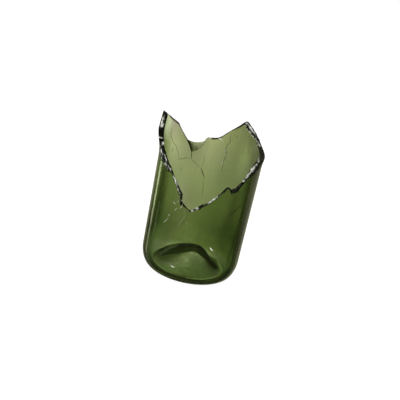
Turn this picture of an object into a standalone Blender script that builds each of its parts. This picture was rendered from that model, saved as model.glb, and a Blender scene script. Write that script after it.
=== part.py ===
"""The lower part of a broken green glass wine bottle, standing on its base.

One piece of moulded glass: a round wall with a rounded heel and a domed punt, broken off
along a jagged rim that runs high at the back and dips in a deep notch at the front.
Metres, +Z up; azimuths are in degrees from +X, so 90 is the back and 270 the front.
"""

import math

import bmesh
import bpy
from mathutils import Vector

MM = 0.001

# The bottle, outside
BODY_RADIUS = 37.5 * MM     # where the wall leaves the heel
FLARE = 0.0085              # what the radius gains for each unit of height
HEEL_WIDTH = 7.0 * MM       # the heel is a quarter of an ellipse
HEEL_HEIGHT = 14.7 * MM
RING_INNER = 26.0 * MM      # the flat ring that it stands on ends here
PUNT_RISE = 15.6 * MM       # top of the hollow under the base
PUNT_SHAPE = (1.5, 1.2)     # fullness and power of the hollow: see bell()

# The bottle, inside
WALL = 3.8 * MM             # mean thickness of the wall
BORE_SHIFT = -0.4 * MM      # the bore stands off centre, so the wall is thinner on the left
TROUGH_RADIUS = 28.4 * MM   # lowest ring of the floor, between the wall and the dome
FLOOR = 2.9 * MM            # glass under the trough
DOME_FOOT = 28.0 * MM
DOME_RISE = 15.3 * MM       # top of the dome above the trough
DOME_SHAPE = (1.9, 1.2)

# The punt leans: its top to +X, its foot to -X
LEAN_TOP = 4.0 * MM
LEAN_FOOT = -3.2 * MM

# The wall swells outwards on the two shards: the middle's azimuth, the width to each side in
# degrees, how far, where it starts and is full, and what it loses for each unit of height above
SWELLS = [
    (182, 55, 3.2 * MM, 86 * MM, 104 * MM, 0.107),
    (0, 26, 0.8 * MM, 90 * MM, 98 * MM, 0.0),
]
BORE_SWELL = 0.72           # how far the bore follows the swells, so the glass is thicker there

# The broken rim: outer edge's azimuth and height in mm, then the inner edge's
RIM = [
    (0, 97.7, 1, 98.2),          # tip of the right shard
    (14.8, 100.9, 14.5, 101.1),
    (32.6, 107.2, 30.5, 106.2),
    (47.6, 113, 47.1, 110.1),
    (51.7, 115, 50.7, 111.8),
    (55.8, 115.3, 53.8, 112.8),  # peak at the back right
    (77.1, 101.8, 75.2, 101.4),
    (85.5, 96.8, 84.4, 96.3),
    (92.4, 95.7, 91.7, 94.9),
    (97.3, 95.4, 96.7, 95.4),
    (99.7, 94.4, 98.8, 94.4),
    (100.4, 92.5, 100.1, 92.3),
    (102.3, 91.4, 101.3, 91.1),  # scallop spalled off the inside
    (109.5, 90.1, 105.3, 86.5),
    (113.4, 89.9, 110, 84),
    (120.8, 91, 116.7, 82.5),
    (122.2, 91.4, 121.4, 87.7),
    (137.1, 103, 142.5, 102.6),
    (139, 104.5, 145.1, 104),
    (164, 112.8, 171, 112),
    (180, 116.5, 179, 114.2),    # tip of the left shard
    (183, 114.8, 182, 112.9),
    (186, 100.8, 184.2, 100),
    (187, 93.3, 186, 93),
    (188.8, 91.4, 190.5, 92),
    (196.3, 88, 205, 89.2),
    (223.1, 80, 224.6, 81.2),
    (231.4, 78.8, 229.5, 78.1),
    (245.3, 67, 247.3, 66.9),
    (248.6, 59.8, 249.5, 60.6),
    (252, 60.4, 251.5, 59.8),
    (260.5, 57, 259.2, 57.1),    # bottom of the front notch
    (270.1, 60.6, 269.6, 61.6),
    (272.5, 62.3, 272.1, 63.5),
    (276, 64.3, 277, 64.4),
    (291.1, 75.2, 293.3, 75.2),
    (294.3, 77.8, 297.1, 78),
    (296.5, 78, 300.7, 78),
    (300.5, 74, 304.9, 76.3),
    (307, 76, 311, 78.8),
    (309.5, 77.8, 314.2, 80.3),
    (312.9, 83, 319, 83.5),
    (325.8, 88, 327.8, 89.2),
    (337.3, 91.8, 334.8, 93.3),
    (342.9, 93.8, 340.3, 95.2),
    (348.4, 95.9, 347.4, 96.2),
    (354, 97, 355, 97.2),
]

# Mesh fineness
RIM_STEP = 3.0 * MM         # longest edge along the rim
HEEL_STEPS = 5
WALL_STEPS = 8
DOME_STEPS = 7
DRAFT_HEIGHT = 100 * MM     # height of the plain wall before it is drawn to the rim


def outer_radius(height):
    """Radius of the outside of the wall at a height."""
    return BODY_RADIUS + FLARE * (height - HEEL_HEIGHT)


def smooth(amount):
    """0 below 0, 1 above 1, with an eased ramp between them."""
    amount = min(max(amount, 0.0), 1.0)
    return amount * amount * (3 - 2 * amount)


def bell(share, rise, shape):
    """Height of a dome above its foot, at a share of the foot's radius: more fullness flattens its top."""
    fullness, power = shape
    return rise * (1 - share ** fullness) ** power


def quarter(centre, width, height, steps):
    """Points of a quarter ellipse from straight below its centre to straight beside it."""
    turns = [math.pi / 2 * step / steps for step in range(steps + 1)]
    return [
        (centre[0] + width * math.sin(turn), centre[1] - height * math.cos(turn))
        for turn in turns
    ]


def dome(foot, floor, rise, shape):
    """A dome's points from its top down to its foot."""
    shares = [step / DOME_STEPS for step in range(DOME_STEPS + 1)]
    return [(foot * share, floor + bell(share, rise, shape)) for share in shares]


def lean(radius):
    """How far the punt is pushed to +X at a distance from its middle."""
    share = radius / TROUGH_RADIUS
    return LEAN_TOP * smooth(1 - share) + LEAN_FOOT * 6.75 * share ** 2 * (1 - share)


def section():
    """The glass's section as (radius, height, bore), from under the dome round to the dome's top.

    bore is 1 on the wall's inner side, 0 outside and on the floor, and runs between them on the inner heel.
    """
    heel = quarter((BODY_RADIUS - HEEL_WIDTH, HEEL_HEIGHT), HEEL_WIDTH, HEEL_HEIGHT, HEEL_STEPS)
    rise = (DRAFT_HEIGHT - HEEL_HEIGHT) / WALL_STEPS
    heights = [HEEL_HEIGHT + rise * step for step in range(1, WALL_STEPS + 1)]
    outside = [(outer_radius(height), height) for height in heights]
    bore_width = BODY_RADIUS - WALL - TROUGH_RADIUS
    bore_heel = quarter((TROUGH_RADIUS, HEEL_HEIGHT), bore_width, HEEL_HEIGHT - FLOOR, HEEL_STEPS)

    punt = dome(RING_INNER, 0.0, PUNT_RISE, PUNT_SHAPE)
    points = [(r, z, 0.0) for r, z in punt + heel + outside]
    points += [(r - WALL, z, 1.0) for r, z in outside[::-1]]
    points += [(r, z, (r - TROUGH_RADIUS) / bore_width) for r, z in bore_heel[:0:-1]]
    points += [(r, z, 0.0) for r, z in dome(DOME_FOOT, FLOOR, DOME_RISE, DOME_SHAPE)[::-1]]
    return points


def rim_columns():
    """The rim's stations with more between them, so that no step along it is longer than RIM_STEP."""
    columns = []
    for here, there in zip(RIM, RIM[1:] + [(RIM[0][0] + 360, RIM[0][1], RIM[0][2] + 360, RIM[0][3])]):
        along = math.radians(there[0] - here[0]) * BODY_RADIUS
        steps = max(1, math.ceil(math.hypot(along, (there[1] - here[1]) * MM) / RIM_STEP))
        for step in range(steps):
            columns.append([a + (b - a) * step / steps for a, b in zip(here, there)])
    return columns


def swell(azimuth, height):
    """How far the wall stands out from round at an azimuth and a height."""
    total = 0.0
    for middle, width, most, start, full, loss in SWELLS:
        aside = abs((azimuth - middle + 180) % 360 - 180)
        rise = most * smooth((height - start) / (full - start)) - loss * max(0.0, height - full)
        total += rise * smooth(1 - aside / width)
    return total


def draw_to_rim(shell, bore, columns):
    """Moves the plain wall's points so that its top follows the broken rim."""
    for vert in shell.verts:
        on_floor = math.hypot(vert.co.x, vert.co.y) < TROUGH_RADIUS
        if on_floor or vert.co.z <= HEEL_HEIGHT + 1e-6:
            continue
        turn = math.atan2(vert.co.y, vert.co.x) % (2 * math.pi)
        column = round(turn / (2 * math.pi) * len(columns)) % len(columns)
        first = 2 if vert[bore] else 0
        rim_azimuth, rim_height = columns[column][first : first + 2]
        share = (vert.co.z - HEEL_HEIGHT) / (DRAFT_HEIGHT - HEEL_HEIGHT)
        height = HEEL_HEIGHT + share * (rim_height * MM - HEEL_HEIGHT)
        even = math.degrees(turn)
        azimuth = even + smooth(share) * ((rim_azimuth - even + 180) % 360 - 180)
        swelling = swell(azimuth, height) * (1 - (1 - BORE_SWELL) * vert[bore])
        radius = outer_radius(height) + swelling - vert[bore] * WALL
        turned = math.radians(azimuth)
        vert.co = Vector((radius * math.cos(turned), radius * math.sin(turned), height))


def centre_box(shell):
    """Slides the glass so that its box's middle stands over the origin."""
    for axis in (0, 1):
        places = [vert.co[axis] for vert in shell.verts]
        middle = (min(places) + max(places)) / 2
        for vert in shell.verts:
            vert.co[axis] -= middle


def make_glass():
    glass = bpy.data.materials.new("olive_glass")
    glass.use_nodes = True
    shader = glass.node_tree.nodes["Principled BSDF"]
    shader.inputs["Base Color"].default_value = (0.25, 0.31, 0.13, 1)
    shader.inputs["Metallic"].default_value = 0.0
    shader.inputs["Roughness"].default_value = 0.04
    shader.inputs["IOR"].default_value = 1.52
    shader.inputs["Transmission Weight"].default_value = 1.0
    glass.diffuse_color = (0.25, 0.31, 0.13, 1)
    return glass


def make_bottle_base():
    columns = rim_columns()
    shell = bmesh.new()
    bore = shell.verts.layers.float.new("bore")
    points = []
    for radius, height, inner in section():
        points.append(shell.verts.new((radius, 0, height)))
        points[-1][bore] = inner
    edges = [shell.edges.new(pair) for pair in zip(points, points[1:])]
    bmesh.ops.spin(
        shell,
        geom=points + edges,
        cent=(0, 0, 0),
        axis=(0, 0, 1),
        angle=2 * math.pi,
        steps=len(columns),
        use_merge=True,
    )
    bmesh.ops.remove_doubles(shell, verts=shell.verts, dist=1e-6)
    draw_to_rim(shell, bore, columns)
    for vert in shell.verts:
        radius = math.hypot(vert.co.x, vert.co.y)
        if vert[bore] == 0.0 and radius < TROUGH_RADIUS:
            vert.co.x += lean(radius)
        vert.co.x += BORE_SHIFT * vert[bore]
    centre_box(shell)
    bmesh.ops.recalc_face_normals(shell, faces=shell.faces)
    mesh = bpy.data.meshes.new("bottle_base")
    shell.to_mesh(mesh)
    shell.free()
    mesh.shade_smooth()
    mesh.set_sharp_from_angle(angle=math.radians(35))
    mesh.materials.append(make_glass())
    base = bpy.data.objects.new("bottle_base", mesh)
    bpy.context.scene.collection.objects.link(base)


for thing in list(bpy.data.objects):
    bpy.data.objects.remove(thing)
make_bottle_base()
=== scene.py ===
import math

import bmesh
import bpy
from mathutils import Matrix, Vector, noise


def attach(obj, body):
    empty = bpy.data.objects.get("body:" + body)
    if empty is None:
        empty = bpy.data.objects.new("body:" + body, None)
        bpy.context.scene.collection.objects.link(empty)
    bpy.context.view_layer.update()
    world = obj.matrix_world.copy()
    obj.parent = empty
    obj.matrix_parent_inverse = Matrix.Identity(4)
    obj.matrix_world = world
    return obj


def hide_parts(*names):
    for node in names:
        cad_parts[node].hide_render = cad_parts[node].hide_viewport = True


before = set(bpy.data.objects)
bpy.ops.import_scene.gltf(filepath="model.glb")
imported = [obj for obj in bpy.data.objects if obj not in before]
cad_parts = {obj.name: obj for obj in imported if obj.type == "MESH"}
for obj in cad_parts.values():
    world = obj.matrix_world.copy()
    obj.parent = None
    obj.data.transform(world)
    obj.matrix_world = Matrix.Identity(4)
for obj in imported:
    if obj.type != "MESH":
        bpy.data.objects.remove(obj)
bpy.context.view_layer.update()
mm = 0.001

shot = {
    "target": (0.1, -0.2, 54.9),  # mm, the middle of the glass
    "distance": 450,              # mm
    "elevation": 18,              # degrees
    "roll": 11.96,                # degrees, so that the glass leans to the right
    "lens": 53.67,
    "sensor": 36,
}


def makeCamera():
    target = Vector(shot["target"]) * mm
    climb = math.radians(shot["elevation"])
    away = Vector((0, -math.cos(climb), math.sin(climb)))
    camera = bpy.data.objects.new("camera", bpy.data.cameras.new("camera"))
    camera.data.lens = shot["lens"]
    camera.data.sensor_width = shot["sensor"]
    camera.data.clip_start = 0.01
    camera.data.clip_end = 20
    aim = (-away).to_track_quat("-Z", "Y").to_matrix().to_4x4()
    place = Matrix.Translation(target + away * shot["distance"] * mm)
    camera.matrix_world = place @ aim @ Matrix.Rotation(math.radians(shot["roll"]), 4, "Z")
    bpy.context.scene.collection.objects.link(camera)
    bpy.context.scene.camera = camera


makeCamera()
bpy.context.scene.view_settings.view_transform = "Standard"
print("camera made")


def addNode(tree, kind, **settings):
    made = tree.nodes.new(kind)
    for name, value in settings.items():
        setattr(made, name, value)
    return made


def plug(tree, value, socket):  # a link or a plain value, whichever it is
    if isinstance(value, bpy.types.NodeSocket):
        tree.links.new(value, socket)
    else:
        socket.default_value = value


def calc(tree, operation, *values):
    made = addNode(tree, "ShaderNodeMath", operation=operation)
    for value, socket in zip(values, made.inputs):
        plug(tree, value, socket)
    return made.outputs[0]


def blendColours(tree, share, first, second, kind="MIX"):
    made = addNode(tree, "ShaderNodeMix", data_type="RGBA", blend_type=kind)
    for value, socket in zip((share, first, second), (made.inputs[0], made.inputs[6], made.inputs[7])):
        plug(tree, value, socket)
    return made.outputs[2]


def ramp(tree, value, stops, low=0.0, high=1.0):
    # stops are (value, grey) or (value, colour), over the range from low to high
    made = addNode(tree, "ShaderNodeValToRGB")
    bar = made.color_ramp.elements
    while len(bar) < len(stops):
        bar.new(0.5)
    for element, (place, tone) in zip(bar, stops):
        element.position = (place - low) / (high - low)
        element.color = (*tone, 1) if isinstance(tone, tuple) else (tone, tone, tone, 1)
    plug(tree, calc(tree, "MULTIPLY_ADD", value, 1 / (high - low), -low / (high - low)), made.inputs[0])
    return made.outputs[0]


def newMaterial(name):
    made = bpy.data.materials.new(name)
    made.use_nodes = True
    return made, made.node_tree, made.node_tree.nodes["Principled BSDF"].inputs


def placeMesh(shape, name, *materials):
    mesh = bpy.data.meshes.new(name)
    shape.to_mesh(mesh)
    shape.free()
    for material in materials:
        mesh.materials.append(material)
    made = bpy.data.objects.new(name, mesh)
    bpy.context.scene.collection.objects.link(made)
    return made


def spinRound(shape, points, steps):
    # spins a line of points full circle about the upright axis
    edges = [shape.edges.new(pair) for pair in zip(points, points[1:])]
    bmesh.ops.spin(
        shape,
        geom=points + edges,
        cent=(0, 0, 0),
        axis=(0, 0, 1),
        angle=2 * math.pi,
        steps=steps,
        use_merge=True,
    )
    bmesh.ops.remove_doubles(shape, verts=shape.verts, dist=0.001)


def makeGroup(name, inputs, outputs):
    group = bpy.data.node_groups.new(name, "ShaderNodeTree")
    for label, kind in inputs:
        group.interface.new_socket(name=label, in_out="INPUT", socket_type=kind)
    for label in outputs:
        group.interface.new_socket(name=label, in_out="OUTPUT", socket_type="NodeSocketFloat")
    return group, addNode(group, "NodeGroupInput").outputs, addNode(group, "NodeGroupOutput").inputs


def placeGroup(tree, group, values):
    placed = addNode(tree, "ShaderNodeGroup", node_tree=group)
    for label, value in values.items():
        plug(tree, value, placed.inputs[label])
    return placed.outputs


def makeSideAndRise():
    # a direction's side, in degrees from straight behind the glass, and its rise over level
    group, given, made = makeGroup("sideAndRise", [("Way", "NodeSocketVector")], ["Side", "Rise"])
    length = addNode(group, "ShaderNodeVectorMath", operation="NORMALIZE")
    plug(group, given["Way"], length.inputs[0])
    parts = addNode(group, "ShaderNodeSeparateXYZ")
    plug(group, length.outputs[0], parts.inputs[0])
    x, y, z = parts.outputs
    plug(group, calc(group, "MULTIPLY", calc(group, "ARCTAN2", x, y), math.degrees(1)), made["Side"])
    plug(group, calc(group, "MULTIPLY", calc(group, "ARCSINE", z), math.degrees(1)), made["Rise"])
    return group


def makePatches():
    # cloudy patches, stretched along any axis whose stretch is under 1
    sockets = [
        ("Way", "NodeSocketVector"),
        ("Scale", "NodeSocketFloat"),
        ("Detail", "NodeSocketFloat"),
        ("Stretch", "NodeSocketVector"),
    ]
    group, given, made = makeGroup("patches", sockets, ["Patches"])
    spread = addNode(group, "ShaderNodeMapping")
    plug(group, given["Way"], spread.inputs["Vector"])
    plug(group, given["Stretch"], spread.inputs["Scale"])
    clouds = addNode(group, "ShaderNodeTexNoise")
    plug(group, given["Scale"], clouds.inputs["Scale"])
    plug(group, given["Detail"], clouds.inputs["Detail"])
    plug(group, spread.outputs[0], clouds.inputs["Vector"])
    plug(group, clouds.outputs[0], made["Patches"])
    return group


directionGroup = makeSideAndRise()
patchGroup = makePatches()


def noiseOf(tree, way, scale, detail=2.0, stretch=(1, 1, 1)):
    values = {"Way": way, "Scale": scale, "Detail": detail, "Stretch": stretch}
    return placeGroup(tree, patchGroup, values)["Patches"]


print("shared effects made")

studio = {
    "tentRadius": 0.2,      # m
    "tentMiddle": (0, 0, 0.055),
    # light through the glass, level by level up the tent: each level's rise in degrees, then how
    # bright the tent is there at each number of degrees to the side of straight behind the glass
    "levels": [
        (-70, [(-180, 0.06), (180, 0.06)]),
        (-52, [(-180, 0.3), (-60, 0.06), (-47, 0.09), (-30, 0.17), (-14, 0.015), (14, 0.015),
            (20, 0.08), (26, 0.05), (46, 0.015), (60, 0.015), (100, 0.3), (180, 0.3)]),
        (-48, [(-180, 0.35), (-60, 0.15), (-47, 0.07), (-36, 0.10), (-28, 0.12), (-20, 0.30),
            (-13, 0.36), (-7, 0.37), (4, 0.35), (14, 0.30), (22, 0.2), (33, (0.09, 0.12, 0.06)),
            (46, (0.03, 0.04, 0.02)), (60, 0.015), (100, 0.3), (180, 0.35)]),
        (-45, [(-180, 0.4), (-60, 0.2), (-47, 0.05), (-36, (0.10, 0.10, 0.13)),
            (-28, (0.14, 0.14, 0.18)), (-20, (0.42, 0.42, 0.54)), (-13, 0.58), (-7, 0.62), (-1, 0.55),
            (4, 0.52), (10, 0.53), (14, 0.5), (22, 0.3), (33, (0.13, 0.18, 0.08)),
            (46, (0.03, 0.045, 0.02)), (60, (0.02, 0.03, 0.01)), (100, 0.3), (180, 0.4)]),
        (-40, [(-180, 0.4), (-60, 0.28), (-47, 0.08), (-36, (0.11, 0.11, 0.15)),
            (-28, (0.21, 0.21, 0.29)), (-20, (0.49, 0.49, 0.62)), (-13, (0.58, 0.59, 0.46)),
            (-7, 0.66), (-1, 0.60), (4, 0.56), (10, 0.56), (14, 0.53), (22, (0.31, 0.35, 0.22)),
            (33, (0.19, 0.26, 0.13)), (46, (0.05, 0.065, 0.03)), (60, (0.025, 0.035, 0.012)),
            (100, 0.3), (180, 0.4)]),
        (-35, [(-180, 0.4), (-60, 0.36), (-47, 0.13), (-36, (0.12, 0.12, 0.15)),
            (-28, (0.25, 0.25, 0.35)), (-20, (0.47, 0.47, 0.60)), (-13, (0.47, 0.48, 0.40)),
            (-10, 0.64), (-7, 0.88), (-1, 1.05), (4, 0.88), (8, 0.70), (14, 0.45),
            (22, (0.31, 0.32, 0.27)), (26, (0.32, 0.35, 0.27)), (33, (0.25, 0.29, 0.2)),
            (46, (0.08, 0.10, 0.06)), (60, (0.06, 0.09, 0.04)), (100, 0.3), (180, 0.4)]),
        (-32, [(-180, 0.4), (-60, 0.38), (-47, 0.19), (-36, (0.12, 0.12, 0.155)),
            (-28, (0.28, 0.28, 0.40)), (-20, (0.52, 0.51, 0.68)), (-13, 0.34),
            (-7, (0.44, 0.44, 0.47)), (0, (0.49, 0.48, 0.52)), (4, 0.40), (10, 0.43), (14, 0.36),
            (18, (0.26, 0.27, 0.24)), (26, (0.33, 0.37, 0.29)), (30, (0.16, 0.18, 0.12)),
            (34, (0.22, 0.24, 0.18)), (39, 0.27), (46, (0.09, 0.12, 0.07)), (60, (0.08, 0.12, 0.06)),
            (100, 0.3), (180, 0.4)]),
        (-26, [(-180, 0.4), (-58, (0.10, 0.125, 0.07)), (-47, (0.05, 0.07, 0.035)), (-40, 0.21),
            (-36, 0.035), (-32, (0.014, 0.022, 0.011)), (-24, (0.038, 0.054, 0.027)),
            (-18, (0.19, 0.22, 0.20)), (-13, 0.30), (-10, (0.32, 0.31, 0.35)),
            (-8, (0.40, 0.37, 0.45)), (-3, (0.46, 0.445, 0.49)), (0, 0.40), (5, 0.32), (10, 0.24),
            (15, (0.125, 0.145, 0.11)), (20, (0.13, 0.15, 0.105)), (27, (0.16, 0.18, 0.13)),
            (30, 0.015), (33, 0.0), (39, 0.12), (46, (0.035, 0.045, 0.025)),
            (50, (0.09, 0.095, 0.065)), (54, (0.05, 0.06, 0.035)), (60, (0.05, 0.06, 0.035)),
            (100, 0.3), (180, 0.4)]),
        (-18, [(-180, 0.4), (-62, 0.7), (-47, 0.46), (-37, 0.17), (-32, 0.008), (-24, 0.025),
            (-19, (0.15, 0.155, 0.18)), (-15, 0.46), (-12, (0.45, 0.44, 0.48)),
            (-9, (0.52, 0.47, 0.64)), (-4, (0.38, 0.36, 0.38)), (1, 0.39), (8, 0.35), (13, 0.37),
            (18, 0.185), (23, 0.31), (29, 0.40), (32, 0.12), (34, 0.01), (40, 0.05), (46, 0.055),
            (50, 0.1), (56, 0.1), (75, 0.3), (180, 0.4)]),
        (-10, [(-180, 0.45), (-62, 0.95), (-47, (0.98, 1.05, 1.35)), (-41, 0.62), (-32, 0.06),
            (-24, 0.04), (-20, 0.34), (-13, 0.54), (-7, 0.51), (-4, 0.48), (0, 0.47), (3, 0.43),
            (6, 0.34), (14, 0.31), (18, 0.24), (22, 0.34), (28, 0.21), (32, 0.06), (37, 0.025),
            (46, (0.18, 0.17, 0.2)), (50, (0.2, 0.17, 0.22)), (56, (0.30, 0.28, 0.40)), (75, 0.25),
            (180, 0.45)]),
        (-2, [(-180, 0.45), (-60, 0.9), (-42, 0.25), (-29, 0.25), (-20, 0.64), (-15, 0.86),
            (-11, 0.63), (-6, 0.44), (-3, 0.50), (0, 0.60), (5, 0.45), (10, (0.34, 0.35, 0.31)),
            (14, (0.46, 0.49, 0.42)), (21, 0.22), (30, 0.07), (45, 0.07), (75, 0.25), (180, 0.45)]),
        (6, [(-180, 0.3), (-60, 0.6), (-32, (1.55, 1.38, 2.8)), (-21.5, (1.45, 1.28, 2.6)),
            (-18, (0.92, 0.76, 1.25)), (-10, (0.36, 0.37, 0.31)), (-4, 0.42), (0, 0.80),
            (6, (0.51, 0.53, 0.48)), (12, 0.35), (30, 0.1), (180, 0.3)]),
        (15, [(-180, 0.05), (180, 0.05)]),
    ],
    "levelTints": [         # by rise
        (-50, (1.25, 1.2, 0.85)), (-44, (1.1, 1.2, 0.9)), (-40, (1.1, 1.18, 0.95)),
        (-35.5, (1.26, 1.14, 1.32)), (-31, (1.08, 1.10, 0.72)), (-22, (1.05, 1.08, 0.70)),
        (-12, (1.06, 1.07, 0.71)), (-3, (1.14, 1.06, 0.84)), (3, (1.16, 1.06, 0.80)),
    ],
    "sideTints": [
        (-90, (1, 1, 1)), (-60, (1, 1, 1.1)), (-44, (1.1, 1, 1.35)), (-34, (0.92, 1, 0.82)),
        (-22, (0.88, 1, 0.74)), (-16, (1, 1, 1.08)), (-2, (1, 1, 1)), (8, (0.97, 1, 0.95)),
        (22, (1.02, 1, 1.15)), (38, (1.08, 1, 1.25)), (50, (1.2, 1, 1.35)), (75, (1, 1, 1)),
    ],
    "mottle": [(-32, 0.14), (-20, 0.04), (0, 0.03)],  # cloudiness in that light, by rise
    "mottleScale": 275,     # per m
    "mottleSwing": 5,
    # light that the glass mirrors: by side, high up and low down, and the rises where they change
    "mirroredHigh": [
        (-180, 0.08), (-110, 0.08), (-90, 0.06), (-70, 0.03),
        (-38, 0.05), (-32, 0.42), (-15, 0.40), (0, 0.35), (15, 0.34), (41, 0.36), (48, 0.25),
        (57, 0.24), (60, 0.03), (90, 0.05), (110, 0.07), (180, 0.08),
    ],
    "mirroredLow": [
        (-180, 0.08), (-110, 0.08), (-90, 0.06), (-70, 0.03),
        (-38, 0.04), (-32, 0.18), (-15, 0.18), (0, 0.2), (15, 0.3), (42, 0.33), (45, 0.04),
        (50, 0.05), (53, 0.20), (56, 0.18), (59, 0.03), (90, 0.05), (110, 0.07), (180, 0.08),
    ],
    "mirroredChange": [(-24, 1), (-17, 0)],
    "mirroredTint": (1.0, 0.98, 0.64, 1),
    "strips": [             # upright lamps: side and width in degrees, light, how it fades by rise
        (-51.6, 7.2, (2.05, 1.95, 1.5),
         [(-30, 0.2), (-26, 0.3), (-22, 0.45), (-19, 1.0), (-15.6, 1.0), (-14.6, 0)]),
        (-73.5, 5.0, (0.6, 0.6, 0.38), [(-23.2, 0), (-22, 1), (-20, 0.8), (-19.2, 0)]),
    ],
    # soft boxes overhead, which only the broken edge mirrors
    "boxLight": 2.0,
    "boxScale": 3.5,
    "boxEdge": [(0.60, 0), (0.63, 1)],
    "boxAbove": [(10, 0), (18, 1)],
    "boxBeside": [(40, 0), (60, 1)],
    "floorWidth": 8,        # m
    "floorColour": (0.25, 0.25, 0.25, 1),
    "floorGlow": 0.92,
}


def makeTent():
    # a glowing tent close round the glass, which only light through the glass sees
    shape = bmesh.new()
    bmesh.ops.create_uvsphere(shape, u_segments=96, v_segments=48, radius=studio["tentRadius"])
    bmesh.ops.translate(shape, vec=studio["tentMiddle"], verts=shape.verts)
    cloth, tree, _ = newMaterial("tentGlow")
    cloth.cycles.emission_sampling = "NONE"
    tree.nodes.remove(tree.nodes["Principled BSDF"])
    where = addNode(tree, "ShaderNodeTexCoord")
    fromMiddle = addNode(tree, "ShaderNodeVectorMath", operation="SUBTRACT")
    plug(tree, where.outputs["Object"], fromMiddle.inputs[0])
    fromMiddle.inputs[1].default_value = studio["tentMiddle"]
    found = placeGroup(tree, directionGroup, {"Way": fromMiddle.outputs[0]})
    side = found["Side"]
    rise = found["Rise"]
    light = None
    for level, stops in studio["levels"]:
        here = ramp(tree, side, stops, -180, 180)
        if light is not None:
            here = blendColours(tree, ramp(tree, rise, [(under, 0), (level, 1)], -90, 90), light, here)
        light = here
        under = level
    light = blendColours(tree, 1.0, light, ramp(tree, rise, studio["levelTints"], -90, 90), "MULTIPLY")
    light = blendColours(tree, 1.0, light, ramp(tree, side, studio["sideTints"], -180, 180), "MULTIPLY")
    clouds = noiseOf(tree, where.outputs["Object"], studio["mottleScale"], 3)
    swing = calc(tree, "MULTIPLY", calc(tree, "ADD", clouds, -0.5), studio["mottleSwing"])
    shade = calc(tree, "MULTIPLY_ADD", swing, ramp(tree, rise, studio["mottle"], -90, 90), 1)
    light = blendColours(tree, 1.0, light, shade, "MULTIPLY")
    glow = addNode(tree, "ShaderNodeEmission")
    plug(tree, light, glow.inputs["Color"])
    plug(tree, glow.outputs[0], tree.nodes["Material Output"].inputs["Surface"])
    tent = placeMesh(shape, "tent", cloth)
    tent.data.shade_smooth()
    tent.visible_camera = False
    tent.visible_diffuse = False
    tent.visible_glossy = False
    tent.visible_shadow = False


def makeWorld():
    # plain white to look at, and soft lamps and dark cloths where the glass mirrors it
    world = bpy.data.worlds.new("studio")
    bpy.context.scene.world = world
    world.use_nodes = True
    tree = world.node_tree
    way = addNode(tree, "ShaderNodeTexCoord").outputs["Generated"]
    found = placeGroup(tree, directionGroup, {"Way": way})
    side = found["Side"]
    rise = found["Rise"]
    high = ramp(tree, side, studio["mirroredHigh"], -180, 180)
    low = ramp(tree, side, studio["mirroredLow"], -180, 180)
    light = blendColours(tree, ramp(tree, rise, studio["mirroredChange"], -90, 90), high, low)
    light = blendColours(tree, 1.0, light, studio["mirroredTint"], "MULTIPLY")
    for middle, width, colour, fade in studio["strips"]:
        aside = calc(tree, "ABSOLUTE", calc(tree, "SUBTRACT", side, middle))
        strip = calc(tree, "LESS_THAN", aside, width / 2)
        lamp = calc(tree, "MULTIPLY", strip, ramp(tree, rise, fade, -90, 90))
        lamp = blendColours(tree, 1.0, (*colour, 1), lamp, "MULTIPLY")
        light = blendColours(tree, 1.0, light, lamp, "ADD")
    boxes = ramp(tree, noiseOf(tree, way, studio["boxScale"], 1), studio["boxEdge"])
    beside = ramp(tree, calc(tree, "ABSOLUTE", side), studio["boxBeside"], 0, 180)
    above = ramp(tree, rise, studio["boxAbove"], -90, 90)
    boxes = calc(tree, "MULTIPLY", calc(tree, "MULTIPLY", boxes, beside), above)
    light = blendColours(tree, 1.0, light, calc(tree, "MULTIPLY", boxes, studio["boxLight"]), "ADD")
    rays = addNode(tree, "ShaderNodeLightPath").outputs
    plain = calc(tree, "MAXIMUM", rays["Is Camera Ray"], rays["Is Diffuse Ray"])
    seen = blendColours(tree, plain, light, (1, 1, 1, 1))
    plug(tree, seen, tree.nodes["Background"].inputs["Color"])


def makeFloor():
    shape = bmesh.new()
    bmesh.ops.create_grid(shape, x_segments=1, y_segments=1, size=studio["floorWidth"] / 2)
    paper, _, inputs = newMaterial("palePaper")
    inputs["Base Color"].default_value = studio["floorColour"]
    inputs["Roughness"].default_value = 1
    inputs["Specular IOR Level"].default_value = 0
    inputs["Emission Color"].default_value = (1, 1, 1, 1)
    inputs["Emission Strength"].default_value = studio["floorGlow"]
    floor = placeMesh(shape, "floor", paper)
    floor.visible_transmission = False
    floor.visible_glossy = False


makeWorld()
makeTent()
makeFloor()
print("studio made")

bottle = {
    "bodyRadius": 37.5,     # mm, where the wall leaves the heel
    "flare": 0.0085,        # what the radius gains for each unit of height
    "heelWidth": 7.0,
    "heelHeight": 14.7,
    "ringInner": 26.0,      # the flat ring that it stands on ends here
    "puntRise": 15.6,
    "puntFullness": 1.5,
    "puntPower": 1.2,
    "wall": 3.8,
    "boreShift": -0.4,      # the bore stands off centre
    "troughRadius": 28.4,
    "floor": 2.9,
    "domeFoot": 28.0,
    "domeRise": 15.3,
    "domeFullness": 1.9,
    "domePower": 1.2,
    "leanTop": 4.0,         # the punt leans: its top to one side, its foot to the other
    "leanFoot": -3.2,
    # the shards swell outwards: azimuth, width round it, how far, between which heights, fall above
    "swells": [
        (182, 55, 3.2, 86, 104, 0.107),
        (0, 26, 0.8, 90, 98, 0),
    ],
    "boreSwell": 0.72,      # how far the bore follows the swells, so the glass is thicker there
    "draftHeight": 100,     # height of the plain wall before it is drawn to the rim
    "rimStep": 0.7,
    "heelSteps": 12,
    "wallSteps": 22,
    "rowsCloser": 1.6,      # rows stand closer near the break
    "domeSteps": 16,
    "breakStrips": 8,
}

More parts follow.
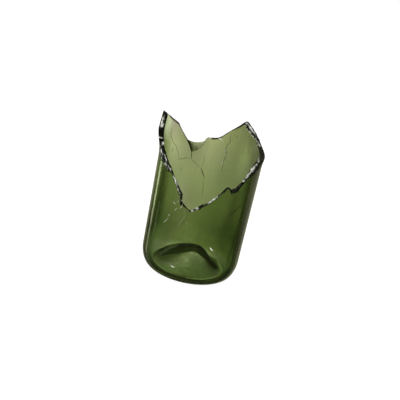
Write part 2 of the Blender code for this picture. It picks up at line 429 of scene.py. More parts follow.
# the broken rim: outer edge's azimuth and height in mm, then the inner edge's,
# then the break's painted glint and shade in four steps from its outer to its inner edge: 0 black painted
# shade, 1 silvery painted glints
rim = [
    (0, 97.7, 1, 98.2, 0.05, 0.05, 0.05, 0.3),           # tip of the right shard
    (7.3, 99.4, 9.3, 99.6, 0.1, 0.05, 0.05, 0.2),
    (14.8, 100.9, 14.5, 101.1, 0.15, 0.05, 0.1, 0.3),
    (20.9, 102.9, 19.4, 102.8, 0.1, 0.9, 0.7, 0.3),
    (26.6, 105, 24.5, 104.7, 0.3, 0.3, 0.5, 0.5),
    (32.6, 107.2, 30.5, 106.2, 0.25, 0.2, 0.45, 0.75),
    (37.7, 109.2, 36.5, 107.4, 0.15, 0.5, 0.15, 0.8),
    (42.8, 111.2, 42.3, 108.7, 0.15, 0.95, 0.2, 0.8),
    (47.6, 113, 47.1, 110.1, 0.2, 0.9, 0.15, 0.75),
    (51.7, 115, 50.7, 111.8, 0.35, 0.55, 0.2, 0.6),
    (55.8, 115.3, 53.8, 112.8, 0.5, 0.5, 0.4, 0.3),      # peak at the back right
    (62.8, 110.9, 59.7, 109.6, 0.1, 0, 0, 0.1),
    (66.3, 108.6, 63.5, 107.8, 0.2, 0.05, 0, 0.1),
    (71.1, 105.6, 68.7, 105.2, 0.4, 0.2, 0.2, 0.2),
    (77.1, 101.8, 75.2, 101.4, 0.4, 0.1, 0.2, 0.3),
    (81.3, 98.8, 79.7, 98.4, 0.3, 0.1, 0.1, 0.4),
    (85.5, 96.8, 84.4, 96.3, 0.2, 0.1, 0.1, 0.3),
    (89, 96.1, 88.1, 95.3, 0.1, 0, 0, 0.1),
    (92.4, 95.7, 91.7, 94.9, 0.1, 0, 0, 0.2),
    (94.9, 95.6, 94.4, 95.5, 0.9, 0.8, 0.8, 0.9),
    (97.3, 95.4, 96.7, 95.4, 1, 1, 0.9, 0.9),
    (99.7, 94.4, 98.8, 94.4, 1, 1, 0.9, 0.9),
    (100.4, 92.5, 100.1, 92.3, 0.9, 0.9, 0.8, 0.6),
    (102.3, 91.4, 101.3, 91.1, 1, 0.9, 0.8, 0.7),      # scallop spalled off the inside
    (105.9, 90.5, 102.5, 89, 1, 0.9, 0.8, 0.65),
    (109.5, 90.1, 105.3, 86.5, 1, 0.95, 0.8, 0.6),
    (113.4, 89.9, 110, 84, 0.95, 0.85, 0.6, 0.5),
    (117.4, 90.3, 114, 83.1, 0.85, 0.55, 0.4, 0.45),
    (120.8, 91, 116.7, 82.5, 0.3, 0.1, 0.15, 0.1),
    (122.2, 91.4, 121.4, 87.7, 0, 0, 0, 0),
    (125, 93.5, 126.5, 91.6, 0.3, 0, 0, 0.1),
    (129.9, 97.1, 133.1, 96.4, 0.4, 0.1, 0.1, 0.2),
    (134.1, 100.3, 138.1, 99.6, 0.4, 0.1, 0.1, 0.3),
    (137.1, 103, 142.5, 102.6, 0.3, 0.1, 0.1, 0.3),
    (139, 104.5, 145.1, 104, 0.2, 0.05, 0.05, 0.3),
    (145.2, 106.7, 152.6, 106.2, 0.05, 0, 0, 0.1),
    (153.8, 109.7, 164.5, 109.6, 0.05, 0, 0, 0.2),
    (164, 112.8, 171, 112, 0.05, 0, 0.1, 0.9),
    (180, 116.5, 179, 114.2, 0.05, 0.1, 0.2, 0.9),        # tip of the left shard
    (183, 114.8, 182, 112.9, 0.1, 0.3, 0.3, 0.05),
    (184, 112.4, 183, 110.9, 0.1, 0.6, 0.25, 0),
    (184.6, 109.8, 183.4, 108.6, 0.15, 0.85, 0.35, 0),
    (185, 107.3, 183.6, 106.2, 0.2, 1, 0.6, 0),
    (185.2, 105.4, 183.8, 104.3, 0.15, 1, 0.7, 0),
    (185.5, 103.3, 184, 102.4, 0.05, 0.3, 0.2, 0.05),
    (186, 100.8, 184.2, 100, 0.05, 0, 0, 0),
    (186.2, 98.2, 184.5, 97.5, 0.1, 0.05, 0.05, 0.05),
    (186.4, 96.8, 184.8, 96.2, 0.6, 0.8, 0.7, 0.3),
    (186.5, 95.3, 185, 94.8, 0.4, 0.1, 0, 0.1),
    (187, 93.3, 186, 93, 0.4, 0.1, 1.1, 0.9),
    (188.8, 91.4, 190.5, 92, 0.45, 0.4, 0.2, 0.3),
    (192.2, 89.8, 199, 90.5, 0.5, 0.5, 0.1, 0),
    (196.3, 88, 205, 89.2, 0.55, 0.65, 0.1, 0),
    (201.7, 86.3, 209.1, 87.4, 0.6, 0.2, 0.6, 0),
    (207.2, 84.6, 213.5, 85.7, 0.65, 0.1, 0.7, 0),
    (213.1, 82.9, 218.1, 83.7, 0.4, 0.7, 0.3, 0),
    (217.8, 81.3, 221.5, 82.7, 0.3, 0.5, 0.5, 0.05),
    (223.1, 80, 224.6, 81.2, 0.6, 0.1, 0.8, 0.1),
    (228.4, 79.6, 227.4, 79.8, 0.1, 0.05, 0.05, 0.1),
    (231.4, 78.8, 229.5, 78.1, 0.3, 0.5, 0.5, 0.3),
    (234.3, 76.6, 232.8, 76, 0.5, 0.8, 0.8, 0.2),
    (237.2, 74.3, 236.3, 73.9, 0.6, 0.9, 0.9, 0.3),
    (239.8, 72, 239.7, 71.7, 0.6, 0.8, 0.2, 0.4),
    (242.7, 68.9, 243.9, 68.7, 0.5, 0.7, 0.1, 0.3),
    (245.3, 67, 247.3, 66.9, 0.3, 0.6, 0.2, 0.1),
    (246.9, 65, 247.6, 64.5, 0.2, 0.4, 0.15, 0.2),
    (247.9, 62.8, 248.3, 62.2, 0.1, 0, 0.2, 0.5),
    (248.6, 59.8, 249.5, 60.6, 0, 0, 0.3, 0.7),
    (252, 60.4, 251.5, 59.8, 0.3, 0, 0, 0.1),
    (256.2, 58.6, 255.9, 58, 0.1, 0, 0, 0.2),
    (260.5, 57, 259.2, 57.1, 0.1, 0, 0.1, 0.3),          # bottom of the front notch
    (262.6, 57.3, 261.6, 57.6, 0.5, 1, 0.9, 0.5),
    (264.9, 58.7, 264.2, 58.8, 0.1, 0.1, 0.2, 0.4),
    (267.6, 59.7, 267.1, 60.4, 0.1, 0.6, 1, 0.7),
    (270.1, 60.6, 269.6, 61.6, 0, 0, 0.2, 0.4),
    (272.5, 62.3, 272.1, 63.5, 0, 0.05, 0.3, 0.3),
    (274, 63.2, 274.6, 63.9, 0, 0.1, 0.8, 0.4),
    (276, 64.3, 277, 64.4, 0.1, 0, 0.1, 0.4),
    (278.4, 66.1, 279.4, 65.9, 0.4, 0.8, 0.9, 0.6),
    (282.1, 68.8, 283.3, 68.3, 0.4, 0.8, 0.9, 0.6),
    (286.1, 71.5, 287.7, 71, 0.3, 0.6, 0.6, 0.5),
    (288.8, 73.5, 290.9, 73.1, 0.1, 0, 0, 0.1),
    (291.1, 75.2, 293.3, 75.2, 0, 0, 0, 0.1),
    (292.8, 76.9, 295.1, 76.8, 0, 0, 0, 0.1),
    (294.3, 77.8, 297.1, 78, 0, 0, 0, 0.1),
    (296.5, 78, 300.7, 78, 0, 0, 0, 0.2),
    (298.2, 76.8, 303.4, 76.6, 0.1, 0, 0.1, 0.3),
    (300.5, 74.5, 304.9, 76.5, 0, 0, 0, 0.2),
    (303.8, 75.4, 307.9, 77.6, 0, 0.1, 0, 0.5),
    (307, 76.1, 311, 78.8, 0, 0, 0.1, 0.5),
    (309.5, 77.7, 314.2, 80.3, 0, 0, 0.1, 0.5),
    (311.2, 80.9, 317.1, 81.7, 0, 0, 0.1, 0.5),
    (312.9, 83, 319, 83.5, 0.1, 0.3, 0.9, 0.7),
    (314.7, 84, 321, 84.6, 0.1, 0.1, 0.4, 0.3),
    (316.9, 84.8, 322.8, 85.5, 0.05, 0.3, 0.9, 0.8),
    (320.7, 86.5, 325.3, 87.3, 0, 0.1, 0.8, 0.6),
    (325.8, 88, 327.8, 89.2, 0, 0, 0.8, 0.4),
    (331.4, 89.9, 330.8, 91.5, 0, 0.1, 1, 0.8),
    (337.3, 91.8, 334.8, 93.3, 0, 0.1, 0.8, 0.1),
    (342.9, 93.8, 340.3, 95.2, 0, 0.05, 0.7, 0.1),
    (348.4, 95.9, 347.4, 96.2, 0, 0, 0.5, 0.6),
    (354, 97, 355, 97.2, 0, 0, 0.1, 0.7),
]

breakFace = {
    "bowls": [(3.6, 0.9), (1.6, 0.16)],  # mm, width and depth of the shell-shaped hollows
    "edgeShare": 0.3,       # how much of the depth is left at the outer and inner edge
    "spallFrom": 93.5,      # degrees, and between these the break is a thin olive scallop
    "spallTo": 121,
    "cleanFrom": 64,        # degrees, and between these the rim broke clean
    "cleanTo": 176,
    "cleanShare": 0.12,
    "bowlReach": 0.7,       # of a bowl's width, where it meets the next one
    "fade": 5,              # degrees over which the clean break begins
    "wave": 0.03,           # mm, waves in the blown walls
    "waveLength": (11, 11, 24),
    "sharpFrom": 28,        # degrees between two faces that meet in a sharp edge
}


def smoothStep(amount):
    amount = min(max(amount, 0.0), 1.0)
    return amount * amount * (3 - 2 * amount)


def mix(first, second, share):
    return first + (second - first) * share


def outerRadius(height):
    return bottle["bodyRadius"] + bottle["flare"] * (height - bottle["heelHeight"])


def swellAt(azimuth, height):
    total = 0
    for middle, width, most, start, full, fall in bottle["swells"]:
        aside = abs((azimuth - middle + 180) % 360 - 180)
        rise = most * smoothStep((height - start) / (full - start)) - fall * max(0.0, height - full)
        total += rise * smoothStep(1 - aside / width)
    return total


def quarterRound(centre, width, height, steps):
    turns = [math.pi / 2 * step / steps for step in range(steps + 1)]
    return [
        (centre[0] + width * math.sin(turn), centre[1] - height * math.cos(turn))
        for turn in turns
    ]


def domeLine(foot, floor, rise, full, power):
    shares = [step / bottle["domeSteps"] for step in range(bottle["domeSteps"] + 1)]
    return [(foot * share, floor + rise * (1 - share ** full) ** power) for share in shares]


def puntLine():
    return domeLine(bottle["ringInner"], 0.0, bottle["puntRise"], bottle["puntFullness"], bottle["puntPower"])


def insideDomeLine():
    foot = bottle["domeFoot"]
    return domeLine(foot, bottle["floor"], bottle["domeRise"], bottle["domeFullness"], bottle["domePower"])


def leanAt(radius):
    share = radius / bottle["troughRadius"]
    towardsFoot = 6.75 * share ** 2 * (1 - share)  # 1 at two thirds of the way out
    return bottle["leanTop"] * smoothStep(1 - share) + bottle["leanFoot"] * towardsFoot


def sectionLine():
    # (radius, height, bore) from under the punt round to the top of the dome inside;
    # bore is 0 outside, 1 on the inner wall, and runs between them across the break and the inner heel
    radius = bottle["bodyRadius"]
    wide = bottle["heelWidth"]
    tall = bottle["heelHeight"]
    wall = bottle["wall"]
    trough = bottle["troughRadius"]
    top = bottle["draftHeight"]
    steps = bottle["wallSteps"]
    shares = [1 - (1 - step / steps) ** bottle["rowsCloser"] for step in range(1, steps + 1)]
    outside = [(outerRadius(mix(tall, top, share)), mix(tall, top, share)) for share in shares]
    heel = quarterRound((radius - wide, tall), wide, tall, bottle["heelSteps"])
    boreWide = radius - wall - trough
    boreHeel = quarterRound((trough, tall), boreWide, tall - bottle["floor"], bottle["heelSteps"])
    strips = bottle["breakStrips"]

    line = [(r, z, 0.0) for r, z in puntLine() + heel + outside]
    line += [(outerRadius(top) - wall * step / strips, top, step / strips) for step in range(1, strips)]
    line += [(r - wall, z, 1.0) for r, z in outside[::-1]]
    line += [(r, z, (r - trough) / boreWide) for r, z in boreHeel[:0:-1]]
    line += [(r, z, 0.0) for r, z in insideDomeLine()[::-1]]
    return line


def rimColumns():
    columns = []
    first = rim[0]
    around = rim[1:] + [(first[0] + 360, first[1], first[2] + 360, *first[3:])]
    for here, there in zip(rim, around):
        along = math.radians(there[0] - here[0]) * bottle["bodyRadius"]
        steps = max(1, math.ceil(math.hypot(along, there[1] - here[1]) / bottle["rimStep"]))
        for step in range(steps):
            columns.append([mix(a, b, step / steps) for a, b in zip(here, there)])
    return columns


# the break's painted glint and shade at a point across it, from the rim table
def glintAndShadeAt(column, inner):
    tones = column[4:8]
    place = min(inner * 3, 2.999)
    step = int(place)
    return mix(tones[step], tones[step + 1], place - step)


def drawToRim(shell, bore, broken, glintAndShade, along, columns):
    tall = bottle["heelHeight"]
    top = bottle["draftHeight"]
    for vert in shell.verts:
        x, y, z = vert.co
        if math.hypot(x, y) < bottle["troughRadius"] or z <= tall + 0.001:
            continue
        turn = math.atan2(y, x) % (2 * math.pi)
        index = round(turn / (2 * math.pi) * len(columns)) % len(columns)
        column = columns[index]
        inner = vert[bore]
        share = (z - tall) / (top - tall)
        rimHeight = mix(column[1], column[3], inner)
        height = mix(tall, rimHeight, share)
        even = math.degrees(turn)
        across = (mix(column[0], column[2], inner) - even + 180) % 360 - 180
        azimuth = even + smoothStep(share) * across
        swell = swellAt(azimuth, height) * mix(1, bottle["boreSwell"], inner)
        radius = outerRadius(height) + swell - inner * bottle["wall"]
        turned = math.radians(azimuth)
        vert.co = Vector((radius * math.cos(turned), radius * math.sin(turned), height))
        vert[broken] = 1.0 if rimHeight - height < 0.003 else 0.0
        vert[glintAndShade] = glintAndShadeAt(column, inner)
        vert[along] = index * bottle["rimStep"]


def bowlDepth(point, width):
    nearest = noise.voronoi(point / width)[0][0]
    return 1 - min(1.0, (nearest / breakFace["bowlReach"]) ** 2)


def waveHeight(point):
    spread = Vector([place / length for place, length in zip(point, breakFace["waveLength"])])
    return breakFace["wave"] * noise.noise(spread)


def azimuthOf(point):
    return math.degrees(math.atan2(point.y, point.x)) % 360


def cleanShareAt(point):
    azimuth = azimuthOf(point)
    inside = min(azimuth - breakFace["cleanFrom"], breakFace["cleanTo"] - azimuth)
    return mix(1.0, breakFace["cleanShare"], smoothStep(inside / breakFace["fade"]))


def brokenFaces(shell, broken):
    return [face for face in shell.faces if all(vert[broken] > 0.999 for vert in face.verts)]


def roughenBreak(shell, bore, broken, spall):
    faces = set(brokenFaces(shell, broken))
    edges = [edge for edge in shell.edges if not faces.isdisjoint(edge.link_faces)]
    bmesh.ops.subdivide_edges(shell, edges=edges, cuts=1, use_grid_fill=True)
    for face in brokenFaces(shell, broken):
        face.material_index = 1
    shell.normal_update()
    moves = []
    for vert in shell.verts:
        point = vert.co.copy()
        azimuth = azimuthOf(point)
        inside = min(azimuth - breakFace["spallFrom"], breakFace["spallTo"] - azimuth)
        vert[spall] = smoothStep(inside)
        if vert[broken] < 0.999:
            lift = waveHeight(point)
        else:
            middle = math.sin(math.pi * min(max(vert[bore], 0.0), 1.0))
            share = mix(breakFace["edgeShare"], 1.0, middle) * cleanShareAt(point)
            lift = -share * sum(depth * bowlDepth(point, width) for width, depth in breakFace["bowls"])
        moves.append((vert, vert.normal * lift))
    for vert, move in moves:
        vert.co += move


def centreBox(shell):
    shift = Vector((0, 0, 0))
    for axis in (0, 1):
        places = [vert.co[axis] for vert in shell.verts]
        shift[axis] = -(min(places) + max(places)) / 2
    bmesh.ops.translate(shell, vec=shift, verts=shell.verts)
    return shift


glassLook = {
    "colour": (0.5225, 0.6375, 0.2775),  # what is left of white light after 1 / density metres
    "density": 400,
    "grainScale": 650,      # per m, fine orange peel of the blown skin
    "grainHeight": 0.000006,  # m
    "streakScale": 160,     # per m, slow streaks that run up the wall
    "streakHeight": 0.00002,
    "streakStretch": (1, 1, 0.3),
    "smudgeScale": 55,      # per m, faint dull smudges
    "smudges": [(0.52, 0), (0.72, 0.05)],
    "ior": 1.52,
}


def oliveGlass():
    glass, tree, inputs = newMaterial("oliveGlass")
    inputs["Base Color"].default_value = (1, 1, 1, 1)
    inputs["Metallic"].default_value = 0
    inputs["IOR"].default_value = glassLook["ior"]
    inputs["Transmission Weight"].default_value = 1
    way = addNode(tree, "ShaderNodeTexCoord").outputs["Object"]
    smudge = noiseOf(tree, way, glassLook["smudgeScale"], 3.0)
    plug(tree, ramp(tree, smudge, glassLook["smudges"]), inputs["Roughness"])
    grain = addNode(tree, "ShaderNodeBump")
    grain.inputs["Distance"].default_value = glassLook["grainHeight"]
    plug(tree, noiseOf(tree, way, glassLook["grainScale"]), grain.inputs["Height"])
    streaks = addNode(tree, "ShaderNodeBump")
    streaks.inputs["Distance"].default_value = glassLook["streakHeight"]
    upright = noiseOf(tree, way, glassLook["streakScale"], 1.0, glassLook["streakStretch"])
    plug(tree, upright, streaks.inputs["Height"])
    plug(tree, grain.outputs[0], streaks.inputs["Normal"])
    plug(tree, streaks.outputs[0], inputs["Normal"])
    depth = addNode(tree, "ShaderNodeVolumeAbsorption")
    depth.inputs["Color"].default_value = (*glassLook["colour"], 1)
    depth.inputs["Density"].default_value = glassLook["density"]
    plug(tree, depth.outputs[0], tree.nodes["Material Output"].inputs["Volume"])
    return glass


breakLook = {
    "grainScale": 620,      # per m
    "streakLength": 3.0,    # mm, streaks that run along the break
    "streakWidth": 0.7,
    "grain": 0.7,
    "streak": 1.8,
    "oliveStreak": 0.8,
    "glintWeb": 0.5,             # thin painted glint lines
    "glintWebScale": 1.7,
    "glintWebWidth": 0.035,
    "ridge": 0.0002,        # m
    "rough": [(0.3, 0.1), (0.9, 0.3)],
    "mirror": 0.25,
    "glintAndShadeTones": [            # from clear glass in black painted shade to crushed glass in silvery painted glints
        (0.30, (0.002, 0.003, 0.001)), (0.45, (0.012, 0.014, 0.007)), (0.56, (0.06, 0.065, 0.045)),
        (0.68, (0.24, 0.25, 0.19)), (0.84, (0.60, 0.61, 0.54)), (1.05, (0.94, 0.95, 0.91)),
    ],
    "scallopLitTones": [             # the thin scallop, painted with the light through its olive glass, from its dark end to a painted highlight at its lip
        (0.0, (0.003, 0.005, 0.001)), (0.3, (0.03, 0.048, 0.009)), (0.6, (0.17, 0.20, 0.075)),
        (0.8, (0.30, 0.32, 0.15)), (1.1, (0.46, 0.47, 0.27)),
    ],
}


def brokenGlass():
    look, tree, inputs = newMaterial("brokenGlass")
    way = addNode(tree, "ShaderNodeTexCoord").outputs["Object"]
    # an opaque break: black painted shade for the thick glass and silvery painted glints, partly the pale of
    # crushed glass
    glintAndShade, along, across, spall = [
        addNode(tree, "ShaderNodeAttribute", attribute_name=name).outputs["Fac"]
        for name in ("glintAndShade", "along", "bore", "spall")
    ]
    grain = noiseOf(tree, way, breakLook["grainScale"], 3.0)
    track = addNode(tree, "ShaderNodeCombineXYZ")
    plug(tree, calc(tree, "DIVIDE", along, breakLook["streakLength"]), track.inputs[0])
    plug(tree, calc(tree, "MULTIPLY", across, bottle["wall"] / breakLook["streakWidth"]), track.inputs[1])
    streak = noiseOf(tree, track.outputs[0], 1.0, 2.0)
    # painted glints in thin lines along the break
    glintLineNoise = noiseOf(tree, track.outputs[0], breakLook["glintWebScale"], 1.0)
    offGlintLine = calc(tree, "ABSOLUTE", calc(tree, "ADD", glintLineNoise, -0.5))
    glintWeb = ramp(tree, offGlintLine, [(0, 1), (breakLook["glintWebWidth"], 0)])
    tone = calc(tree, "MULTIPLY_ADD", calc(tree, "ADD", grain, -0.5), breakLook["grain"], glintAndShade)
    tone = calc(tree, "MULTIPLY_ADD", calc(tree, "ADD", streak, -0.5), breakLook["streak"], tone)
    paintedBreakColour = calc(tree, "MULTIPLY_ADD", calc(tree, "MULTIPLY", glintWeb, glintAndShade), breakLook["glintWeb"], tone)
    paintedBreakColour = ramp(tree, paintedBreakColour, breakLook["glintAndShadeTones"], 0, 1.2)
    # painted light through the thin olive scallop, with a painted highlight at its lip
    olive = calc(tree, "MULTIPLY_ADD", calc(tree, "ADD", streak, -0.5), breakLook["oliveStreak"], glintAndShade)
    olive = ramp(tree, olive, breakLook["scallopLitTones"], 0, 1.2)
    plug(tree, blendColours(tree, spall, paintedBreakColour, olive), inputs["Base Color"])
    plug(tree, ramp(tree, tone, breakLook["rough"], 0, 1.2), inputs["Roughness"])
    inputs["IOR"].default_value = glassLook["ior"]
    inputs["Specular IOR Level"].default_value = breakLook["mirror"]
    ridges = addNode(tree, "ShaderNodeBump")
    ridges.inputs["Distance"].default_value = breakLook["ridge"]
    plug(tree, calc(tree, "ADD", streak, grain), ridges.inputs["Height"])
    plug(tree, ridges.outputs[0], inputs["Normal"])
    return look


def makeBottle():
    columns = rimColumns()
    shell = bmesh.new()
    bore = shell.verts.layers.float.new("bore")
    broken = shell.verts.layers.float.new("broken")
    # the break's painted glint and shade, carried to its material
    glintAndShade = shell.verts.layers.float.new("glintAndShade")
    along = shell.verts.layers.float.new("along")
    spall = shell.verts.layers.float.new("spall")
    points = []
    for radius, height, inner in sectionLine():
        points.append(shell.verts.new((radius, 0, height)))
        points[-1][bore] = inner
    spinRound(shell, points, len(columns))
    drawToRim(shell, bore, broken, glintAndShade, along, columns)
    for vert in shell.verts:
        vert.co.x += bottle["boreShift"] * vert[bore]
        if vert[bore] == 0.0 and vert.co.xy.length < bottle["troughRadius"]:
            vert.co.x += leanAt(vert.co.xy.length)
    shift = centreBox(shell)
    bmesh.ops.recalc_face_normals(shell, faces=shell.faces)
    roughenBreak(shell, bore, broken, spall)
    bmesh.ops.scale(shell, vec=(mm, mm, mm), verts=shell.verts)
    glass = placeMesh(shell, "broken_bottle", oliveGlass(), brokenGlass())
    glass.data.shade_smooth()
    glass.data.set_sharp_from_angle(angle=math.radians(breakFace["sharpFrom"]))
    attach(glass, "root")
    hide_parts("bottle_base")
    print("bottle made,", len(glass.data.polygons), "faces,", len(columns), "columns")
    return shift


centring = makeBottle()

# painted shade on the punt inside: a dark patchy film over the dome, where the thick glass looks dark
puntShade = {
    "lift": 0.2,      # mm over the glass
    "reach": 0.97,    # of the punt's foot
    "steps": 96,
    "patchScale": 90,  # per m
    "grainScale": 900,
    "hides": [(0.38, 0.28), (0.62, 0.55)],  # how much of the glass the painted shade hides, from its thinnest to its thickest
    "colours": [(0.3, (0.003, 0.006, 0.001)), (0.7, (0.012, 0.02, 0.004))],
    "rough": 0.8,
    "mirror": 0.2,
}


# painted shade: a dark patchy film that lets some of the glass show through
def puntShadeMaterial():
    look, tree, inputs = newMaterial("puntShadeFilm")
    way = addNode(tree, "ShaderNodeTexCoord").outputs["Object"]
    cloudy = noiseOf(tree, way, puntShade["patchScale"], 3.0)
    grain = noiseOf(tree, way, puntShade["grainScale"])
    both = calc(tree, "MULTIPLY_ADD", grain, 0.5, calc(tree, "MULTIPLY", cloudy, 0.5))
    plug(tree, ramp(tree, both, puntShade["hides"]), inputs["Alpha"])
    plug(tree, ramp(tree, grain, puntShade["colours"]), inputs["Base Color"])
    inputs["Roughness"].default_value = puntShade["rough"]
    inputs["Specular IOR Level"].default_value = puntShade["mirror"]
    return look


def makePuntShade():
    film = bmesh.new()
    points = [film.verts.new((r * puntShade["reach"], 0, z + puntShade["lift"])) for r, z in insideDomeLine()]
    spinRound(film, points, puntShade["steps"])
    for vert in film.verts:
        vert.co.x += leanAt(vert.co.xy.length)
    bmesh.ops.translate(film, vec=centring, verts=film.verts)
    bmesh.ops.recalc_face_normals(film, faces=film.faces)
    bmesh.ops.scale(film, vec=(mm, mm, mm), verts=film.verts)
    made = placeMesh(film, "punt_shade_film", puntShadeMaterial())
    made.data.shade_smooth()
    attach(made, "root")
    print("dried lees made,", len(made.data.polygons), "faces")


makePuntShade()

# hairline cracks in the back wall, drawn as opaque slivers whose dark is painted shade: azimuth in degrees
# and height in mm, along each one
cracks = {
    "inwards": 3.2,  # mm, from the outer wall
    "width": 0.26,   # mm, at the widest
    "depth": 0.35,
    "step": 0.8,
    "wander": 0.22,
    "lines": [
        (0.7, [(155.5, 101), (157, 99), (156.7, 96.5), (154.3, 93.5), (149.7, 90), (144, 87.4),
               (140.4, 84.5), (137.5, 81.8), (135.4, 79.3), (134, 76)]),
        (0.9, [(134, 75.6), (128.2, 76.3), (123.4, 77.1), (115.7, 77)]),
        (2.0, [(117.2, 84), (116.2, 80.5), (115.7, 77)]),
        (1.0, [(115.7, 77), (112.2, 75.2), (108, 73.6), (103.6, 71.7), (100, 70.4)]),
        (2.4, [(100.2, 70.6), (98, 68.1), (95.2, 65.3), (92.2, 62.3)]),
        (0.8, [(93.4, 61.7), (92, 56.6), (91, 50.4), (90.2, 46.1)]),
        (0.6, [(97.7, 80.9), (97.3, 76.3), (98.1, 74), (98.6, 71.4)]),
        (1.1, [(69.2, 103.9), (71.1, 101.5), (69.6, 98.7), (68.6, 96.7), (70.2, 95), (72, 93), (72.8, 90.5),
               (70.8, 87), (70.5, 84.6), (71.2, 82), (72, 79.3), (71.4, 76.7), (71.9, 73.5), (71.3, 71)]),
        (0.9, [(147.6, 85.4), (148.4, 84.2), (149.2, 82.2)]),
        (0.5, [(163.8, 98.8), (161.2, 97.4)]),
        (0.6, [(128, 70), (126.2, 66.3)]),
        (1.6, [(120.3, 64.7), (119.8, 64.2)]),
        (1.4, [(114.2, 68), (113.6, 67.6)]),
        (1.2, [(118.8, 60.3), (118.3, 59.8)]),
        (1.8, [(61.5, 102.2), (61.1, 101)]),
        (1.4, [(49, 92.4), (48.5, 91.9)]),
    ],
}

# painted glints along the long crack, and a painted glint on a chip under the rim
glints = {
    "inwards": 3.95,
    "width": 0.34,
    "depth": 0.1,
    "step": 0.8,
    "wander": 0.1,
    "lines": [
        (1.3, [(73.7, 90), (72, 86.9), (71.6, 85)]),
        (1.2, [(73.2, 80.4), (72.9, 78.6), (72.4, 76.8)]),
        (2.8, [(85, 97), (81.8, 96.2), (78.2, 95.1)]),
    ],
}

# dull scratches and bruises on the front wall under the break, pale as frosted scuffs and partly as painted
# glints of flakes in the glass
scratchesAndGlints = {
    "inwards": 0.04,
    "width": 0.34,
    "depth": 0.12,
    "step": 0.6,
    "wander": 0.12,
    "lines": [
        (1.1, [(239.5, 60.2), (243, 59.6)]),
        (1.0, [(242.5, 54), (245.5, 56.8)]),
        (0.9, [(236.3, 48.6), (238.2, 50.5)]),
        (0.75, [(232, 42.8), (234.9, 44.8), (237.3, 47.6)]),
        (0.8, [(247.8, 56.9), (250.1, 58.5), (251.2, 60.9)]),
        (0.5, [(244, 60.7), (246.5, 63)]),
        (0.3, [(251, 45.2), (253.8, 49.6), (256.5, 54.4)]),
        (0.4, [(259.7, 48.9), (259.9, 47.6)]),
        (0.4, [(261, 45.5), (261.2, 44.4)]),
        (0.4, [(253.8, 55.3), (255.4, 57.5)]),
        (0.5, [(228.5, 60), (228.9, 60.4)]),
    ],
}

# painted highlights low on the front wall, drawn as small bright nicks
highlightSpots = {
    "inwards": 0.04,
    "width": 0.34,
    "depth": 0.12,
    "step": 0.6,
    "wander": 0.1,
    "lines": [
        (1.9, [(290, 33.4), (292, 32.2), (294.2, 30.7)]),
        (1.8, [(251, 13.6), (253.5, 13.3), (256, 13.1)]),
        (1.2, [(262.8, 31.8), (263.8, 31.4)]),
    ],
}

# a crack low on the right of the front wall, its dark painted shade
frontCrack = {
    "inwards": 0.06,
    "width": 0.18,
    "depth": 0.12,
    "step": 0.7,
    "wander": 0.15,
    "lines": [(2.8, [(303, 57.4), (308, 61), (315, 64.7), (318, 66.3)])],
}


def onWall(azimuth, height, inwards):
    turn = math.radians(azimuth)
    deep = min(1.0, max(0.0, inwards) / bottle["wall"])
    radius = outerRadius(height) + swellAt(azimuth, height) * mix(1, bottle["boreSwell"], deep) - inwards
    return Vector((radius * math.cos(turn), radius * math.sin(turn), height))


taper = {
    "tip": 0.15,        # how full a sliver is at its ends
    "power": 0.6,
    "driftScale": 1.1,  # per mm
    "driftFlat": 0.3,   # how much of the drift is kept front to back
    "driftSeed": 1,     # any whole number but 0, which would follow the clock
}


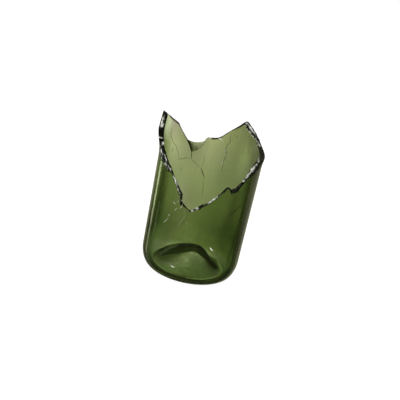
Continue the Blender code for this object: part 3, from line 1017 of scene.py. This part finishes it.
def addSliver(shape, look, size, points):
    # a thin tapering sliver along the wall: its middle line, drawn out sideways and then outwards
    path = []
    for (azimuth, height), (nextAzimuth, nextHeight) in zip(points, points[1:]):
        across = math.radians(nextAzimuth - azimuth) * bottle["bodyRadius"]
        steps = max(1, round(math.hypot(across, nextHeight - height) / look["step"]))
        path += [
            (mix(azimuth, nextAzimuth, step / steps), mix(height, nextHeight, step / steps))
            for step in range(steps)
        ]
    path.append(points[-1])
    places = []
    for azimuth, height in path:
        place = onWall(azimuth, height, look["inwards"])
        drift = noise.noise_vector(place * taper["driftScale"]) * look["wander"]
        places.append(place + Vector((drift.x, drift.y * taper["driftFlat"], drift.z)))
    verts = [shape.verts.new(place) for place in places]
    edges = [shape.edges.new(pair) for pair in zip(verts, verts[1:])]
    made = bmesh.ops.extrude_edge_only(shape, edges=edges)["geom"]
    faces = [item for item in made if isinstance(item, bmesh.types.BMFace)]
    last = len(places) - 1
    for vert in [item for item in made if isinstance(item, bmesh.types.BMVert)]:
        at = min(range(last + 1), key=lambda index: (places[index] - vert.co).length)
        along = (places[min(at + 1, last)] - places[max(at - 1, 0)]).normalized()
        outwards = Vector((vert.co.x, vert.co.y, 0)).normalized()
        fullness = mix(taper["tip"], 1.0, math.sin(math.pi * at / last) ** taper["power"])
        vert.co += along.cross(outwards) * look["width"] * size * fullness
    made = bmesh.ops.extrude_face_region(shape, geom=faces)["geom"]
    for vert in [item for item in made if isinstance(item, bmesh.types.BMVert)]:
        vert.co += Vector((vert.co.x, vert.co.y, 0)).normalized() * look["depth"]


def makeSlivers(name, look, material):
    shape = bmesh.new()
    for size, points in look["lines"]:
        addSliver(shape, look, size, points)
    bmesh.ops.translate(shape, vec=centring, verts=shape.verts)
    bmesh.ops.recalc_face_normals(shape, faces=shape.faces)
    bmesh.ops.scale(shape, vec=(mm, mm, mm), verts=shape.verts)
    made = placeMesh(shape, name, material)
    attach(made, "root")
    print(name, "made,", len(made.data.polygons), "faces")


dustScale = 600  # per m


def dullMaterial(name, darkest, palest, roughness):
    look, tree, inputs = newMaterial(name)
    dust = noiseOf(tree, addNode(tree, "ShaderNodeTexCoord").outputs["Object"], dustScale)
    plug(tree, ramp(tree, dust, [(0.35, darkest), (0.65, palest)]), inputs["Base Color"])
    plug(tree, ramp(tree, dust, [(0.3, roughness), (0.7, roughness + 0.2)]), inputs["Roughness"])
    return look


noise.seed_set(taper["driftSeed"])
# painted shade for the dark of the cracks
crackShade = dullMaterial("crackShade", (0.004, 0.005, 0.002), (0.02, 0.022, 0.01), 0.3)
# pale of the scuffs, partly painted glints
scuffAndGlintPale = dullMaterial("scuffAndGlintPale", (0.30, 0.33, 0.22), (0.62, 0.65, 0.52), 0.5)
# painted highlights and glints: pale bright slivers
paintedGlint = dullMaterial("paintedGlint", (0.62, 0.66, 0.52), (0.95, 0.97, 0.90), 0.4)
makeSlivers("wall_cracks", cracks, crackShade)
makeSlivers("crack_glints", glints, paintedGlint)
makeSlivers("front_crack", frontCrack, crackShade)
makeSlivers("front_scuffs_and_glints", scratchesAndGlints, scuffAndGlintPale)
makeSlivers("front_highlights", highlightSpots, paintedGlint)
